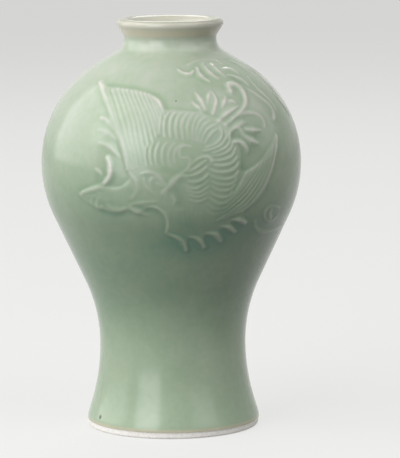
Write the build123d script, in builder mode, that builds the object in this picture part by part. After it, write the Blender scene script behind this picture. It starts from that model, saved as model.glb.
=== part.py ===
from build123d import *

import os
from math import acos, atan, atan2, cos, pi, sin, sqrt

# Meiping vase in celadon porcelain, 250 mm tall: a flared foot, a narrow waist, a full shoulder,
# a short neck and a rolled lip, with a phoenix in low relief on two opposite sides.
# The clay is four thrown sections, stepped where they meet and luted with slip. Relief sprigs
# are luted onto the clay, and a glaze coats the outside, the inside and the recess under the foot.
# Lengths are millimetres. The origin is the middle of the foot's resting plane, +Z up, front at -Y.

# Lengths that stack up along the axis, from the table to the lip
foot_edge_height = 4.1
foot_flare_length = 47.0
body_rise_length = 111.0
shoulder_length = 75.7
neck_length = 9.2
lip_crown_height = 3.0

# Radii of the finished outside, and how far the foot and the lip stand out
waist_radius = 44.7
foot_flare = 8.1
belly_radius = 79.2
neck_radius = 28.0
lip_overhang = 4.3

# The wall, the floor and the turned foot
wall_thickness = 4.2
floor_thickness = 7.0
floor_corner_radius = 9.0
foot_edge_round = 1.5
foot_ring_width = 5.0
foot_ring_slope = 1.2
foot_recess_depth = 5.0

# The glaze
glaze_thickness = 0.5
base_glaze_margin = 2.0

# The luted joints between the clay sections
joint_step_height = 3.0
joint_slip_thickness = 0.4

# The relief above the glaze around it, and the clear glaze between sprigs
relief_pad_height = 0.6
relief_crest_height = 1.4
sprig_gap = 0.6
relief_sector_start = -150
relief_sector_arc = 190
half_turn = 180
quarter_turn = 90

# The relief's drawing, in pixels: where it has the axis and the belly, the vase's own measures in it,
# the rows that a pixel of depth lifts a point, and the widths of a feather and of a curl
axis_column = 171
belly_row = 161
belly_radius_pixels = 132
neck_radius_pixels = 46.7
shoulder_rows = 125.3
rise_rows = 183.7
depth_rows = 0.1175
feather_pixels = 2.5
curl_pixels = 4

# Heights and radii worked out from the sizes above
waist_height = foot_edge_height + foot_flare_length
belly_height = waist_height + body_rise_length
neck_height = belly_height + shoulder_length
lip_height = neck_height + neck_length
overall_height = lip_height + lip_crown_height
foot_radius = waist_radius + foot_flare
lip_radius = neck_radius + lip_overhang
crest_radius = lip_radius - lip_crown_height
total_wall = wall_thickness + 2 * glaze_thickness
floor_height = foot_recess_depth + floor_thickness
cut_overrun = belly_radius

# How round the outside is below and above each change of direction: shares of the roundest fit
flare_shares = (0.08, 0.90)
rise_shares = (0.47, 0.385)
shoulder_shares = (0.86, 0.11)
neck_shares = (0.42, 0.25)

# How wide a feather is at its ends, as a share of its middle
blunt_end_share = 0.35

# Two arcs meet without a line where the gap is under this share of the glaze
meeting_share = 0.01


class Bow:
    """One arc of the outside between two slants of its normal. A hollow one has a negative reach."""

    def __init__(self, centre, reach, first_slant, last_slant):
        self.centre = centre
        self.reach = reach
        self.first_slant = first_slant
        self.last_slant = last_slant

    def point(self, slant, depth):
        """A point of the arc at a depth into the wall, where the outward normal has this slant."""
        return self.centre + Vector(cos(slant), sin(slant)) * (self.reach - depth)

    def ends(self, depth):
        """The arc's start, middle and end at a depth into the wall."""
        slants = (self.first_slant, (self.first_slant + self.last_slant) / 2, self.last_slant)
        return [self.point(slant, depth) for slant in slants]


def sweep(low_height, low_radius, high_height, high_radius, shares):
    """Two arcs, upright at the low and the high point, with one common tangent between them."""
    step = high_radius - low_radius
    length = high_height - low_height
    roundest = (step**2 + length**2) / (2 * step)
    low_share, high_share = shares
    low_reach = -roundest * low_share
    high_reach = roundest * high_share
    low_centre = Vector(low_radius - low_reach, low_height)
    high_centre = Vector(high_radius - high_reach, high_height)
    apart = high_centre - low_centre
    slant = atan2(apart.Y, apart.X) - acos((low_reach - high_reach) / apart.length)
    return [Bow(low_centre, low_reach, 0, slant), Bow(high_centre, high_reach, slant, 0)]


# The finished outside, from the foot's glaze line to the neck, then over the lip to its crest
body_bows = [
    *sweep(foot_edge_height, foot_radius, waist_height, waist_radius, flare_shares),
    *sweep(waist_height, waist_radius, belly_height, belly_radius, rise_shares),
    *sweep(belly_height, belly_radius, neck_height, neck_radius, shoulder_shares),
]
lip_bows = [
    *sweep(neck_height, neck_radius, lip_height, lip_radius, neck_shares),
    Bow(Vector(crest_radius, lip_height), lip_crown_height, 0, pi / 2),
]


def draw(bows, depth):
    """Adds arcs at a depth into the wall, joined by their tangent lines."""
    last_end = None
    for bow in bows:
        start, middle, end = bow.ends(depth)
        if last_end and (start - last_end).length > glaze_thickness * meeting_share:
            Line(last_end, start)
        ThreePointArc(start, middle, end)
        last_end = end


def body_at(depth):
    """The half section within the outside, up to the crest of the lip, at a depth into the wall."""
    with BuildSketch() as body:
        with BuildLine():
            draw(body_bows + lip_bows, depth)
            Polyline(
                (crest_radius, overall_height - depth),
                (0, overall_height - depth),
                (0, foot_edge_height),
                (foot_radius - depth, foot_edge_height),
            )
        make_face()
    return body.sketch


# The rounded corner between the floor and the wall, tangent to both
waist_bow = body_bows[1]
wall_reach = total_wall - waist_bow.reach
corner_height = floor_height + floor_corner_radius
corner_rise = waist_bow.centre.Y - corner_height
corner_inset = sqrt((wall_reach + floor_corner_radius) ** 2 - corner_rise**2)
corner_centre = Vector(waist_bow.centre.X - corner_inset, corner_height)
corner_slant = atan2(corner_rise, corner_inset)
wall_bows = [Bow(waist_bow.centre, waist_bow.reach, corner_slant, 0), *body_bows[2:]]


def cavity_at(depth):
    """The half section of the hollow, and of the air above the mouth, at a depth under its surface."""
    wall = total_wall - depth
    throat_radius = neck_radius - wall
    mouth_round = crest_radius - throat_radius
    mouth_crest = Vector(crest_radius, overall_height - depth)
    mouth_centre = mouth_crest - Vector(0, mouth_round)
    mouth_middle = mouth_centre + Vector(-cos(pi / 4), sin(pi / 4)) * mouth_round
    throat_end = mouth_centre - Vector(mouth_round, 0)
    floor_round = floor_corner_radius + depth
    floor_edge = corner_centre - Vector(0, floor_round)
    halfway = (corner_slant - pi / 2) / 2
    corner_middle = corner_centre + Vector(cos(halfway), sin(halfway)) * floor_round
    top = overall_height + cut_overrun
    with BuildSketch() as cavity:
        with BuildLine():
            Line((0, floor_edge.Y), floor_edge)
            ThreePointArc(floor_edge, corner_middle, wall_bows[0].ends(wall)[0])
            draw(wall_bows, wall)
            Line((throat_radius, neck_height), throat_end)
            ThreePointArc(throat_end, mouth_middle, mouth_crest)
            Polyline(mouth_crest, (crest_radius, top), (0, top), (0, floor_edge.Y))
        make_face()
    return cavity.sketch


# The clay in half section: the body and its foot, less the hollow and the recess under the foot
clay_foot_radius = foot_radius - glaze_thickness
rest_radius = clay_foot_radius - foot_edge_round
ring_inner_radius = rest_radius - foot_ring_width
recess_radius = ring_inner_radius - foot_ring_slope
with BuildSketch() as clay:
    add(body_at(glaze_thickness))
    with BuildLine():
        Line((0, 0), (rest_radius, 0))
        RadiusArc((rest_radius, 0), (clay_foot_radius, foot_edge_round), -foot_edge_round)
        Polyline(
            (clay_foot_radius, foot_edge_round),
            (clay_foot_radius, foot_edge_height),
            (0, foot_edge_height),
            (0, 0),
        )
    make_face()
    add(cavity_at(glaze_thickness), mode=Mode.SUBTRACT)
    with BuildLine():
        Polyline(
            (0, 0),
            (ring_inner_radius, 0),
            (recess_radius, foot_recess_depth),
            (0, foot_recess_depth),
            close=True,
        )
    make_face(mode=Mode.SUBTRACT)


class Joint:
    """A stepped joint across the wall: the upper section's tongue stands inside the lower one's rim."""

    def __init__(self, height, outer_radius):
        self.height = height
        self.step_radius = outer_radius - total_wall / 2

    def line(self, shift):
        """The joint's line from outside the wall to the axis, shifted into the upper section or the lower."""
        tongue_height = self.height - joint_step_height
        side = self.step_radius - shift
        return [
            (belly_radius + cut_overrun, self.height + shift),
            (side, self.height + shift),
            (side, tongue_height + shift),
            (-cut_overrun, tongue_height + shift),
        ]


waist_joint = Joint(waist_height, waist_radius)
belly_joint = Joint(belly_height, belly_radius)
neck_joint = Joint(neck_height, neck_radius)
half_slip = joint_slip_thickness / 2


def bottom_line():
    """A line below everything, from outside the wall to the axis."""
    return [(belly_radius + cut_overrun, -cut_overrun), (-cut_overrun, -cut_overrun)]


def top_line():
    """A line above everything, from outside the wall to the axis."""
    top = overall_height + cut_overrun
    return [(belly_radius + cut_overrun, top), (-cut_overrun, top)]


def clay_between(lower, upper, label):
    """The ring of clay between two lines across the wall, turned about the vase's axis."""
    with BuildPart() as ring:
        with BuildSketch(Plane.XZ):
            add(clay.sketch)
            with BuildLine():
                Polyline(*lower, *reversed(upper), close=True)
            make_face(mode=Mode.INTERSECT)
        revolve(axis=Axis.Z)
    ring.part.label = label
    return ring.part


foot_section = clay_between(bottom_line(), waist_joint.line(-half_slip), "foot_section")
lower_body = clay_between(waist_joint.line(half_slip), belly_joint.line(-half_slip), "lower_body")
shoulder_section = clay_between(belly_joint.line(half_slip), neck_joint.line(-half_slip), "shoulder_section")
neck_section = clay_between(neck_joint.line(half_slip), top_line(), "neck_section")
waist_slip = clay_between(waist_joint.line(-half_slip), waist_joint.line(half_slip), "waist_joint_slip")
belly_slip = clay_between(belly_joint.line(-half_slip), belly_joint.line(half_slip), "belly_joint_slip")
neck_slip = clay_between(neck_joint.line(-half_slip), neck_joint.line(half_slip), "neck_joint_slip")


def relief_layer(inner_depth, outer_depth):
    """A coat between two depths of the outside, over the sector that the front relief covers."""
    with BuildPart() as coat:
        with BuildSketch(Plane.XZ.rotated((0, 0, relief_sector_start))):
            add(body_at(outer_depth))
            add(body_at(inner_depth), mode=Mode.SUBTRACT)
            add(cavity_at(glaze_thickness), mode=Mode.SUBTRACT)
        revolve(axis=Axis.Z, revolution_arc=relief_sector_arc)
    return coat.part


# The two layers that the relief is cut from: flat pads, and the feathers standing on them
pad_layer = relief_layer(glaze_thickness, -relief_pad_height)
crest_layer = relief_layer(-relief_pad_height / 2, -relief_crest_height)

# The relief is drawn as seen from the front and a little above. It widens with the belly, and its
# rows spread with the shoulder and with the body under the belly.
column_width = belly_radius / belly_radius_pixels
shoulder_row_height = shoulder_length / shoulder_rows
rise_row_height = body_rise_length / rise_rows
tilt = atan(depth_rows * shoulder_row_height / column_width)
front_plane = Plane(origin=(0, 0, belly_height), x_dir=(1, 0, 0), z_dir=(0, -cos(tilt), sin(tilt)))
shoulder_plane = Plane(origin=(0, 0, belly_height))
drawing_reach = belly_radius + shoulder_length
feather_width = feather_pixels * column_width
curl_width = curl_pixels * column_width


def from_front(column, row):
    """A pixel of the front drawing, in millimetres from the axis at belly height."""
    rows_up = belly_row - row
    row_height = shoulder_row_height if row < belly_row else rise_row_height
    return Vector((column - axis_column) * column_width, rows_up * row_height * cos(tilt))


def from_above(column, row):
    """A pixel of the drawing seen from above, kept at its share of the way from the neck to the belly."""
    pixels = Vector(column, row)
    share = (pixels.length - neck_radius_pixels) / (belly_radius_pixels - neck_radius_pixels)
    return pixels.normalized() * (neck_radius + (belly_radius - neck_radius) * share)


class Sprig:
    """One relief sprig: the outline of its pad, fans of feathers and single curls, in pixels."""

    def __init__(self, name, outline_pixels, fan_pixels=(), curl_pixels=()):
        self.name = name
        self.outline_pixels = outline_pixels
        self.fan_pixels = fan_pixels
        self.curl_pixels = curl_pixels
        self.plane = front_plane
        self.place = from_front
        self.neighbour = None

    def draw_from_above(self, neighbour):
        """Has the sprig drawn from above, and kept clear of a neighbour that is drawn from the front."""
        self.plane = shoulder_plane
        self.place = from_above
        self.neighbour = neighbour

    def leaf(self, start, middle, end, width):
        """Adds a faceted leaf, widest at its middle, where it bends, and blunt at both ends."""
        tail, knee, tip = (self.place(*pixels) for pixels in (start, middle, end))
        side = (tip - tail).normalized().rotate(Axis.Z, quarter_turn) * (width / 2)
        blunt = side * blunt_end_share
        with BuildLine() as edge:
            Polyline(
                tail + blunt,
                knee + side,
                tip + blunt,
                tip - blunt,
                knee - side,
                tail - blunt,
                close=True,
            )
        make_face(edge.edges())

    def fan(self, first, last, count):
        """Adds feathers spaced evenly from the first one to the last one."""
        for number in range(count):
            share = number / (count - 1)
            between_points = [
                [low + (high - low) * share for low, high in zip(low_point, high_point)]
                for low_point, high_point in zip(first, last)
            ]
            self.leaf(*between_points, feather_width)

    def column(self, margin=0):
        """The pad's outline and a margin, drawn out square to the drawing, through the vase's wall."""
        with BuildPart() as column:
            with BuildSketch(self.plane):
                with BuildLine():
                    Polyline(*[self.place(*pixels) for pixels in self.outline_pixels], close=True)
                make_face()
                if margin:
                    offset(amount=margin)
            extrude(amount=drawing_reach)
        return self.clear(column.part)

    def clear(self, piece):
        """The piece, cut back where it would come within the gap of the neighbour."""
        if not self.neighbour:
            return piece
        column = self.neighbour.column(sprig_gap)
        with BuildPart() as cut:
            add(piece)
            add(column, mode=Mode.SUBTRACT)
        return cut.part

    def build(self):
        """The pad on the clay with its feathers standing on it."""
        with BuildPart() as feathers:
            with BuildSketch(self.plane):
                for first, last, count in self.fan_pixels:
                    self.fan(first, last, count)
                for start, middle, end in self.curl_pixels:
                    self.leaf(start, middle, end, curl_width)
            extrude(amount=drawing_reach)
            add(crest_layer, mode=Mode.INTERSECT)
        column = self.column()
        with BuildPart() as sprig:
            add(column)
            add(pad_layer, mode=Mode.INTERSECT)
            add(feathers.part)
        return self.clear(sprig.part)


crest_and_claws = Sprig(
    "crest_and_claws",
    [
        (190, 99), (197, 91), (206, 96), (209, 89), (213, 90), (216, 97), (223, 94), (228, 91),
        (232, 88), (237, 89), (244, 96), (249, 103), (247, 109), (257, 113), (264, 120), (264, 130),
        (262, 137), (261, 146), (249, 154), (243, 151), (242, 141), (236, 138), (235.5, 127), (223, 118.5),
        (206, 111.3), (192, 108.5),
    ],
    curl_pixels=[
        ((193, 101), (198, 100), (204, 110)),
        ((211, 92), (214, 101), (211, 111)),
        ((230, 93), (239, 91), (245, 106)),
        ((240, 118), (254, 114), (263, 127)),
        ((240, 126), (250, 126), (260, 130)),
        ((241, 134), (250, 139), (258, 143)),
        ((244, 143), (248, 147), (249, 152)),
    ],
)

shoulder_plume = Sprig(
    "shoulder_plume",
    [
        (2, -69), (9, -82), (24, -83), (39, -85), (52, -73), (84, -64), (97, -72), (107, -66), (112, -48),
        (123, -30), (125, -8), (122, 15), (116, 42), (108, 66), (100, 66), (97, 40), (92, 15), (78, -12),
        (56, -27), (44, -38), (36, -46), (26, -54), (20, -66),
    ],
    fan_pixels=[
        (((50, -66), (80, -57), (103, -66)), ((58, -40), (92, -34), (119, -30)), 3),
        (((66, -30), (97, -20), (121, 0)), ((66, -22), (100, 10), (106, 60)), 3),
    ],
    curl_pixels=[
        ((6, -71), (13, -77), (21, -76)),
        ((26, -75), (32, -80), (39, -79)),
        ((23, -71), (27, -61), (36, -52)),
    ],
)
shoulder_plume.draw_from_above(crest_and_claws)

sprigs = [
    crest_and_claws,
    shoulder_plume,
    Sprig(
        "left_wing",
        [
            (100, 83), (113, 85), (130, 88), (148, 94), (164, 102), (168, 107), (161, 114), (157, 124),
            (154, 134), (147, 141), (144.5, 152), (145, 166), (139, 172), (127, 171), (120, 160), (116, 146),
            (111, 128), (105, 106),
        ],
        fan_pixels=[(((103, 85), (113, 118), (127, 169)), ((162, 109), (149, 130), (141, 166)), 8)],
    ),
    Sprig(
        "neck_feathers",
        [
            (166, 110), (204, 113), (222, 121), (233, 129), (232, 140), (224, 147), (208, 152), (197, 154),
            (186, 163), (180, 168), (165, 170), (149, 168), (148, 153), (150.5, 143), (158, 137), (160, 124),
        ],
        fan_pixels=[
            (((165, 113), (160, 124), (162, 137)), ((203, 116), (194, 127), (192, 139)), 6),
            (((208, 119), (198, 130), (197, 143)), ((231, 131), (227, 140), (207, 150)), 4),
            (((151, 143), (149, 153), (152, 166)), ((192, 145), (180, 152), (178, 166)), 5),
        ],
    ),
    Sprig(
        "breast_feathers",
        [
            (239, 145), (240, 152), (240, 166), (238, 180), (235, 190), (230, 198), (221, 203), (208, 199),
            (192, 201), (184, 193), (181, 184), (184, 172), (189, 165), (200, 156), (210, 154), (227, 149),
        ],
        fan_pixels=[
            (((212, 157), (225, 159), (237, 152)), ((209, 194), (220, 200), (232, 195)), 6),
            (((189, 169), (199, 170), (207, 160)), ((187, 196), (197, 199), (206, 195)), 4),
        ],
    ),
    Sprig(
        "right_wing",
        [
            (277, 133), (279, 146), (276, 166), (266, 187), (250, 204), (236, 214), (222, 221), (214, 220),
            (224, 210), (234, 202), (240, 195), (243, 184), (245, 171), (256, 164), (268, 156), (274, 138),
        ],
        fan_pixels=[(((275, 139), (267, 180), (219, 218)), ((256, 167), (249, 180), (236, 197)), 5)],
    ),
    Sprig(
        "tail_tips",
        [
            (190, 204.5), (207, 202), (219, 204), (211, 216), (211, 223), (223, 224), (238, 216), (247, 212),
            (248, 223), (236, 233), (222, 243), (206, 250), (188, 253), (180, 243), (168, 234), (166, 226),
            (170, 219), (176, 211.5),
        ],
        fan_pixels=[
            (((174, 215), (178, 234), (188, 250)), ((208, 205), (205, 222), (218, 242)), 4),
            (((214, 225), (225, 230), (231, 233)), ((238, 218), (243, 219), (246, 222)), 2),
        ],
    ),
    Sprig(
        "head_and_curls",
        [
            (98, 114), (103, 114), (107, 126), (110, 135), (113.5, 147), (117, 160), (124, 173.5),
            (140, 174.5), (149, 170.5), (165, 172.5), (180, 171), (179, 184), (180, 194), (186.5, 202),
            (173, 208), (168, 215), (150, 216), (136, 214), (128, 211), (118, 213), (104, 212), (90, 203),
            (80, 195), (81, 190), (96, 186), (102, 180), (104, 172), (103, 158), (101, 146), (97, 146),
            (98, 130),
        ],
        curl_pixels=[
            ((99, 117), (103, 120), (106, 127)),
            ((100, 143), (108, 148), (114, 158)),
            ((108, 158), (113, 170), (106, 184)),
            ((82, 192), (93, 190), (105, 183)),
            ((89, 198), (97, 197), (105, 203)),
            ((105, 207), (113, 210), (121, 207)),
            ((126, 206), (137, 212), (149, 211)),
            ((124, 176), (134, 177), (134, 190)),
            ((142, 177), (152, 175), (158, 190)),
            ((163, 175), (174, 180), (164, 192)),
            ((138, 195), (150, 201), (166, 210)),
        ],
    ),
    Sprig(
        "cloud",
        [
            (263, 207), (277, 206), (283, 209), (275, 219), (271, 223), (286, 221), (285, 227), (273, 233),
            (258, 233), (251, 224), (254, 219), (263, 219),
        ],
        curl_pixels=[
            ((274, 208), (267, 211), (268, 219)),
            ((270, 220), (275, 216), (280, 210)),
            ((254, 222), (260, 230), (272, 230)),
            ((268, 231), (276, 228), (283, 224)),
        ],
    ),
]

# The outer glaze runs from its line at the foot over the lip to the crest, round the sprigs
windows = [sprig.column() for sprig in sprigs]
windows += [window.rotate(Axis.Z, half_turn) for window in windows]
with BuildPart() as outer_glaze:
    with BuildSketch(Plane.XZ):
        add(body_at(0))
        add(body_at(glaze_thickness), mode=Mode.SUBTRACT)
        add(cavity_at(glaze_thickness), mode=Mode.SUBTRACT)
    revolve(axis=Axis.Z)
    add(windows, mode=Mode.SUBTRACT)
outer_glaze.part.label = "outer_glaze"

# The inner glaze lines the vase from the crest of the lip to the floor
with BuildPart() as inner_glaze:
    with BuildSketch(Plane.XZ):
        add(cavity_at(glaze_thickness))
        add(cavity_at(0), mode=Mode.SUBTRACT)
    revolve(axis=Axis.Z)
inner_glaze.part.label = "inner_glaze"

# The glaze in the recess under the foot
with BuildPart() as base_glaze:
    with Locations((0, 0, foot_recess_depth)):
        Cylinder(
            recess_radius - base_glaze_margin,
            glaze_thickness,
            align=(Align.CENTER, Align.CENTER, Align.MAX),
        )
base_glaze.part.label = "base_glaze"

os.makedirs("parts", exist_ok=True)
whole = [foot_section, lower_body, shoulder_section, neck_section, waist_slip, belly_slip, neck_slip]
whole += [outer_glaze.part, inner_glaze.part, base_glaze.part]
for sprig in sprigs:
    front = sprig.build()
    front.label = "front_" + sprig.name
    with BuildPart() as back:
        add(front, rotation=(0, 0, half_turn))
    back.part.label = "back_" + sprig.name
    whole += [front, back.part]
for piece in whole:
    export_step(piece, os.path.join("parts", piece.label + ".step"))
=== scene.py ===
"""A celadon meiping vase with a phoenix in low relief, on a pale floor in soft studio light."""

from math import acos, atan2, cos, pi, radians, sin, sqrt

import bpy
import numpy as np
from mathutils import Matrix, Vector


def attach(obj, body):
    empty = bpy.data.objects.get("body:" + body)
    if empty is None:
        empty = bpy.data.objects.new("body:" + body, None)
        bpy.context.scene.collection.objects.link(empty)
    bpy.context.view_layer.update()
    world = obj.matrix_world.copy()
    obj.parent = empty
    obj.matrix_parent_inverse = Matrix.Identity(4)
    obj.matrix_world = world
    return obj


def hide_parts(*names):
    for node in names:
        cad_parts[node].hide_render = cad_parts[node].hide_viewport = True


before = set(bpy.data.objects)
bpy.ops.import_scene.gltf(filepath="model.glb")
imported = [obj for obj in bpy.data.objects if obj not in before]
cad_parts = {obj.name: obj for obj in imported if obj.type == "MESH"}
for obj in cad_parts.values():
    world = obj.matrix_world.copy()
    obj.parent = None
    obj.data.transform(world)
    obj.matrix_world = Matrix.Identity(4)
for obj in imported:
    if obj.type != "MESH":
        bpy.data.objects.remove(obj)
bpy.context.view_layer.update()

# A millimetre in metres
MM = 0.001

# The vase's outside, in millimetres, with the names and values of the part's source
foot_edge_height = 4.1
foot_flare_length = 47.0
body_rise_length = 111.0
shoulder_length = 75.7
neck_length = 9.2
lip_crown_height = 3.0
waist_radius = 44.7
foot_flare = 8.1
belly_radius = 79.2
neck_radius = 28.0
lip_overhang = 4.3
wall_thickness = 4.2
floor_thickness = 7.0
floor_corner_radius = 9.0
foot_recess_depth = 5.0
glaze_thickness = 0.5

waist_height = foot_edge_height + foot_flare_length
belly_height = waist_height + body_rise_length
neck_height = belly_height + shoulder_length
lip_height = neck_height + neck_length
overall_height = lip_height + lip_crown_height
foot_radius = waist_radius + foot_flare
lip_radius = neck_radius + lip_overhang
crest_radius = lip_radius - lip_crown_height
total_wall = wall_thickness + 2 * glaze_thickness
floor_height = foot_recess_depth + floor_thickness

# Each sweep's arcs, at its low and its high point, as shares of the roundest pair that fits
flare_shares = (0.08, 0.90)
rise_shares = (0.47, 0.385)
shoulder_shares = (0.86, 0.11)
neck_shares = (0.42, 0.25)


class Bow:
    """One arc of the outside between two slants of its normal. A hollow one has a negative reach."""

    def __init__(self, centre, reach, first_slant, last_slant):
        self.centre = np.array(centre)
        self.reach = reach
        self.first_slant = first_slant
        self.last_slant = last_slant

    def points(self, depth, spacing):
        """Points along the arc at a depth into the wall, and the slants of the normal there."""
        length = abs(self.reach - depth) * abs(self.last_slant - self.first_slant)
        slants = np.linspace(self.first_slant, self.last_slant, 2 + int(length / spacing))
        ways = np.stack([np.cos(slants), np.sin(slants)], axis=1)
        return self.centre + ways * (self.reach - depth), slants


def sweep(low_height, low_radius, high_height, high_radius, shares):
    """Two arcs, upright at the low and the high point, with one common tangent between them."""
    step = high_radius - low_radius
    length = high_height - low_height
    roundest = (step**2 + length**2) / (2 * step)
    low_reach = -roundest * shares[0]
    high_reach = roundest * shares[1]
    low_centre = Vector((low_radius - low_reach, low_height))
    high_centre = Vector((high_radius - high_reach, high_height))
    apart = high_centre - low_centre
    slant = atan2(apart.y, apart.x) - acos((low_reach - high_reach) / apart.length)
    return [Bow(low_centre, low_reach, 0, slant), Bow(high_centre, high_reach, slant, 0)]


body_bows = [
    *sweep(foot_edge_height, foot_radius, waist_height, waist_radius, flare_shares),
    *sweep(waist_height, waist_radius, belly_height, belly_radius, rise_shares),
    *sweep(belly_height, belly_radius, neck_height, neck_radius, shoulder_shares),
]
lip_bows = [
    *sweep(neck_height, neck_radius, lip_height, lip_radius, neck_shares),
    Bow((crest_radius, lip_height), lip_crown_height, 0, pi / 2),
]


def chain(bows, depth, spacing):
    """Points and slants along arcs and the tangent lines between them, closely spaced."""
    places, slants = [], []
    for bow in bows:
        arc_places, arc_slants = bow.points(depth, spacing)
        if places:
            gap = arc_places[0] - places[-1][-1]
            count = int(np.hypot(*gap) / spacing)
            shares = np.linspace(0, 1, count + 2)[1:-1, None]
            places.append(places[-1][-1] + gap * shares)
            slants.append(np.full(len(shares), arc_slants[0]))
        places.append(arc_places)
        slants.append(arc_slants)
    return np.concatenate(places), np.concatenate(slants)


# The outside line from the glaze's edge at the foot to the crest of the lip, by its own length
line_spacing = 0.1
line_places, line_slants = chain(body_bows + lip_bows, 0, line_spacing)
line_steps = np.hypot(*np.diff(line_places, axis=0).T)
line_lengths = np.concatenate([[0], np.cumsum(line_steps)])


def outside(lengths, depth=0):
    """Radius, height and the normal's slant at lengths along the outside line, at a depth under it."""
    slants = np.interp(lengths, line_lengths, line_slants)
    radii = np.interp(lengths, line_lengths, line_places[:, 0]) - depth * np.cos(slants)
    heights = np.interp(lengths, line_lengths, line_places[:, 1]) - depth * np.sin(slants)
    return radii, heights, slants


def length_at(height):
    """The length along the outside line at a height under the crest of the lip."""
    return float(np.interp(height, line_places[:, 1], line_lengths))


# The camera: where the photograph was taken from, in millimetres and degrees
eye = np.array([0, -1882.86, 384.69])
yaw, pitch, roll = radians(0.5237), radians(7.991), radians(-0.420)
focal_pixels = 3102.2
frame_width, frame_height = 400, 458
sensor_width = 36
# The front of the vase lies between these reaches from the camera, which are tried in even steps
near_reach, far_reach, reach_count = 1760, 1930, 500

ahead = np.array([sin(yaw) * cos(pitch), cos(yaw) * cos(pitch), -sin(pitch)])
level_right = np.cross(ahead, (0, 0, 1))
level_right /= np.linalg.norm(level_right)
level_up = np.cross(level_right, ahead)
right = cos(roll) * level_right + sin(roll) * level_up
up = -sin(roll) * level_right + cos(roll) * level_up


def on_vase(pixels):
    """Where pixels of the photograph lie on the plain vase: azimuth from the front, and length along it."""
    pixels = np.asarray(pixels, float)
    rays = ahead + (pixels[:, :1] - frame_width / 2) / focal_pixels * right
    rays = rays - (pixels[:, 1:] - frame_height / 2) / focal_pixels * up
    reaches = np.linspace(near_reach, far_reach, reach_count)
    places = eye + rays[:, None] * reaches[None, :, None]
    radii = np.hypot(places[..., 0], places[..., 1])
    skin = np.interp(places[..., 2], line_places[:, 1], line_places[:, 0])
    gaps = radii - skin
    first = np.argmax(gaps < 0, axis=1)
    first = np.where((gaps < 0).any(axis=1), first, np.argmin(gaps, axis=1))
    rows = np.arange(len(pixels))
    before = np.maximum(first - 1, 0)
    fall = gaps[rows, before] - gaps[rows, first]
    share = np.clip(gaps[rows, before] / np.where(fall == 0, 1, fall), 0, 1)
    hits = places[rows, before] + (places[rows, first] - places[rows, before]) * share[:, None]
    azimuths = np.arctan2(hits[:, 0], -hits[:, 1])
    return np.stack([azimuths, np.interp(hits[:, 2], line_places[:, 1], line_lengths)], axis=1)


# The relief's grid: half a turn of the vase, which the other half repeats
turn_columns = 1104
half_columns = turn_columns // 2
relief_low_height, relief_high_height = 100, 227
relief_low = length_at(relief_low_height)
relief_high = length_at(relief_high_height)
band_count = 5
band_rows = 66
relief_rows = band_count * band_rows + 1
relief_lengths = np.linspace(relief_low, relief_high, relief_rows)
relief_radii = outside(relief_lengths)[0]
row_step = relief_lengths[1] - relief_lengths[0]
column_angle = 2 * pi / turn_columns
relief_strokes = np.zeros((relief_rows, half_columns))
relief_pads = np.zeros((relief_rows, half_columns))
pools_and_painted_shadows = np.zeros((relief_rows, half_columns))

# How many points a straight line is given, and in how many parts a smooth one runs between its points
straight_points = 5
curve_parts = 6
# How far a ridge is worked out to each side, in its own widths
ridge_reach = 2.2


def smooth_line(points):
    """A smooth line through points, as closely spaced points. Three points give a parabola."""
    points = np.asarray(points, float)
    if len(points) < 3:
        return np.linspace(points[0], points[-1], straight_points)
    before = 3 * points[0] - 3 * points[1] + points[2]
    after = 3 * points[-1] - 3 * points[-2] + points[-3]
    ends = [before, *points, after]
    pieces = []
    share = np.linspace(0, 1, curve_parts + 1)[:-1, None]
    for first, second, third, fourth in zip(ends, ends[1:], ends[2:], ends[3:]):
        slope = third - first
        bend = 2 * first - 5 * second + 4 * third - fourth
        twist = 3 * second - first - 3 * third + fourth
        pieces.append(second + (slope * share + bend * share**2 + twist * share**3) / 2)
    return np.concatenate([*pieces, points[-1:]])


def patch(line, margin):
    """The rows and columns of the grid round a line of azimuths and lengths."""
    azimuths, lengths = line[:, 0], line[:, 1]
    low = max(0, int((lengths.min() - margin - relief_low) / row_step))
    high = min(relief_rows, int((lengths.max() + margin - relief_low) / row_step) + 2)
    rows = np.arange(low, max(high, low + 1))
    spread = margin / relief_radii[rows].min()
    first = int(np.floor((azimuths.min() - spread) / column_angle))
    last = int(np.ceil((azimuths.max() + spread) / column_angle))
    return rows, np.arange(first, last + 1)


def spans(line, rows, columns):
    """For each stretch of a line, seen from each place of a patch: the way to its start, the way that the
    stretch goes, how far along it the nearest point is, and how far away that point is."""
    radii = relief_radii[rows][:, None]
    patch_azimuths = columns[None, :] * column_angle
    patch_lengths = relief_lengths[rows][:, None]
    for first, last in zip(line, line[1:]):
        start_x = (first[0] - patch_azimuths) * radii
        start_y = first[1] - patch_lengths
        step_x = (last[0] - first[0]) * radii
        step_y = last[1] - first[1]
        length_squared = np.maximum(step_x * step_x + step_y * step_y, 1e-9)
        along = np.clip(-(start_x * step_x + start_y * step_y) / length_squared, 0, 1)
        away = np.hypot(start_x + along * step_x, start_y + along * step_y)
        yield (start_x, start_y), (step_x, step_y), along, away


def keep_highest(field, rows, columns, values):
    """Lays values over a field, keeping the higher of the two at each place."""
    field_rows = field[rows[0] : rows[-1] + 1]
    wrapped = columns % half_columns
    field_rows[:, wrapped] = np.maximum(field_rows[:, wrapped], values)


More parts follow.
